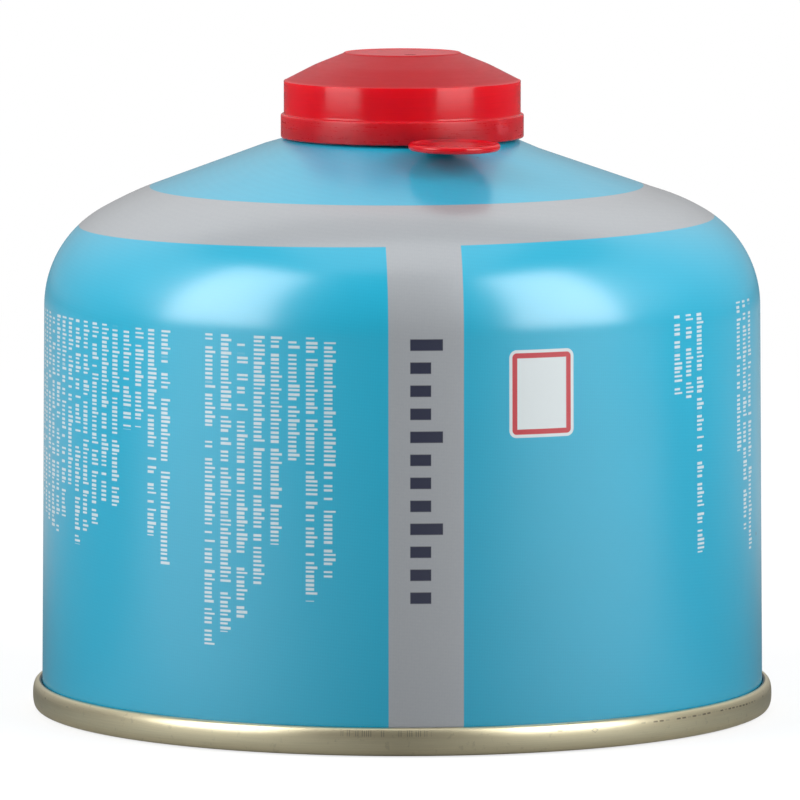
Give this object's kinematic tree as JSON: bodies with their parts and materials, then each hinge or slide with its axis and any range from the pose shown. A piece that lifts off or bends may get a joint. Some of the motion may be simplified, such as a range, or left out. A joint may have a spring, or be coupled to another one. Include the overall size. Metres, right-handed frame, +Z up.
{
  "type": "fuel canister",
  "caption": "Squat steel gas cartridge with a domed shoulder, a rolled bottom seam, a screw valve and a push-on cap with a lift tab.",
  "frame": {"origin": "middle of the ring at the foot of the bottom seam, on the surface that the can stands on", "axes": "+Z up along the can's axis; -Y towards the front, where the vertical stripe is; +X to the right"},
  "size_m": [0.11, 0.11, 0.0975],
  "materials": {
    "lacquered_steel": "gloss",
    "gold_tinplate": "satin",
    "cup_tinplate": "satin",
    "gasket_rubber": "matte",
    "stem_rubber": "matte",
    "housing_nylon": "satin",
    "spring_steel": "polished",
    "stem_brass": "satin",
    "cap_polyethylene": "satin"
  },
  "bodies": {
    "can": {"can_body": "lacquered_steel", "bottom_end": "gold_tinplate", "valve_cup": "cup_tinplate", "neck_gasket": "gasket_rubber", "stem_gasket": "stem_rubber", "valve_housing": "housing_nylon", "valve_spring": "spring_steel"},
    "stem": {"valve_stem": "stem_brass"},
    "cap": {"cap": "cap_polyethylene"}
  },
  "joints": [
    {"name": "cap_lift", "type": "slide", "parent": "can", "child": "cap", "axis": [0, 0, 1], "range_m": [0, 0.04]},
    {"name": "stem_press", "type": "slide", "parent": "can", "child": "stem", "axis": [0, 0, -1], "range_m": [0, 0.002], "stiffness_N_per_m": 1500, "deforming": ["valve_spring"]}
  ]
}
